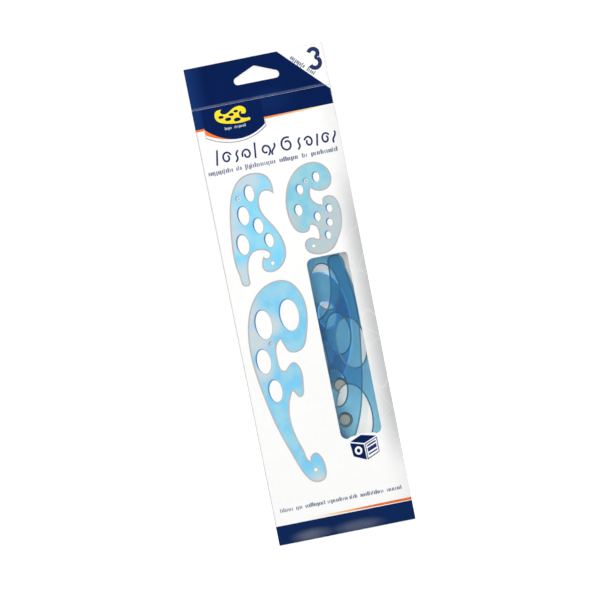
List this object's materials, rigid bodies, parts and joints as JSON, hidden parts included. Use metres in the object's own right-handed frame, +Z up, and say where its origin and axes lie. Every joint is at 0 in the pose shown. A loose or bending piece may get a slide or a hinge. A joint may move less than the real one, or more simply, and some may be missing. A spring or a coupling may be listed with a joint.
{
  "type": "french curve set",
  "caption": "Three clear blue french curves of graded size, packed upright in a flat window carton with a hang-hole header and hinged end closures.",
  "frame": {"origin": "middle of the carton's base, halfway through its depth", "axes": "+Z up the pack to the hang hole, +X to the right seen from the front, +Y through the depth to the back"},
  "size_m": [0.085, 0.012, 0.2955],
  "materials": {
    "carton_board": "satin white coated board",
    "header_board": "satin navy printed board",
    "curve_plastic": "clear light blue, polished"
  },
  "bodies": {
    "large_curve": {"large_curve": "curve_plastic"},
    "medium_curve": {"medium_curve": "curve_plastic"},
    "small_curve": {"small_curve": "curve_plastic"},
    "carton": {"front_panel": "carton_board", "back_panel": "carton_board", "left_side_panel": "carton_board", "right_side_panel": "carton_board", "glue_flap": "carton_board"},
    "header": {"header_front_ply": "header_board", "header_rear_ply": "carton_board"},
    "top_closure": {"top_closure": "carton_board"},
    "top_dust_flap_left": {"top_dust_flap_left": "carton_board"},
    "top_dust_flap_right": {"top_dust_flap_right": "carton_board"},
    "bottom_closure": {"bottom_closure": "carton_board", "bottom_tuck_tongue": "carton_board"},
    "bottom_dust_flap_left": {"bottom_dust_flap_left": "carton_board"},
    "bottom_dust_flap_right": {"bottom_dust_flap_right": "carton_board"}
  },
  "joints": [
    {"name": "large_curve_slide", "type": "slide", "parent": "carton", "child": "large_curve", "axis": [0, 0, 1], "range_m": [0, 0.07]},
    {"name": "medium_curve_slide", "type": "slide", "parent": "carton", "child": "medium_curve", "axis": [0, 0, 1], "range_m": [0, 0.238]},
    {"name": "small_curve_slide", "type": "slide", "parent": "carton", "child": "small_curve", "axis": [0, 0, 1], "range_m": [0, 0.201]},
    {"name": "top_closure_fold", "type": "hinge", "parent": "carton", "child": "top_closure", "pos_m": [0, 0.006, 0.27], "axis": [-1, 0, 0], "range_deg": [0, 270]},
    {"name": "top_dust_fold_left", "type": "hinge", "parent": "carton", "child": "top_dust_flap_left", "pos_m": [-0.0425, 0, 0.2694], "axis": [0, -1, 0], "range_deg": [0, 110]},
    {"name": "top_dust_fold_right", "type": "hinge", "parent": "carton", "child": "top_dust_flap_right", "pos_m": [0.0425, 0, 0.2694], "axis": [0, 1, 0], "range_deg": [0, 110]},
    {"name": "bottom_closure_fold", "type": "hinge", "parent": "carton", "child": "bottom_closure", "pos_m": [0, -0.006, 0], "axis": [-1, 0, 0], "range_deg": [0, 170]},
    {"name": "bottom_dust_fold_left", "type": "hinge", "parent": "carton", "child": "bottom_dust_flap_left", "pos_m": [-0.0425, 0, 0.0006], "axis": [0, 1, 0], "range_deg": [0, 70]},
    {"name": "bottom_dust_fold_right", "type": "hinge", "parent": "carton", "child": "bottom_dust_flap_right", "pos_m": [0.0425, 0, 0.0006], "axis": [0, -1, 0], "range_deg": [0, 70]},
    {"name": "header_fold", "type": "hinge", "parent": "carton", "child": "header", "pos_m": [0, -0.006, 0.27], "axis": [1, 0, 0], "range_deg": [0, 90]}
  ],
  "couplings": [
    {"joint": "medium_curve_slide", "follows": "large_curve_slide", "ratio": 3.39},
    {"joint": "small_curve_slide", "follows": "large_curve_slide", "ratio": 2.86},
    {"joint": "top_closure_fold", "follows": "large_curve_slide", "rad_per_m": 67.3},
    {"joint": "top_dust_fold_left", "follows": "large_curve_slide", "rad_per_m": 26.9},
    {"joint": "top_dust_fold_right", "follows": "large_curve_slide", "rad_per_m": 26.9},
    {"joint": "bottom_dust_fold_left", "follows": "bottom_closure_fold", "ratio": 0.4},
    {"joint": "bottom_dust_fold_right", "follows": "bottom_closure_fold", "ratio": 0.4}
  ]
}
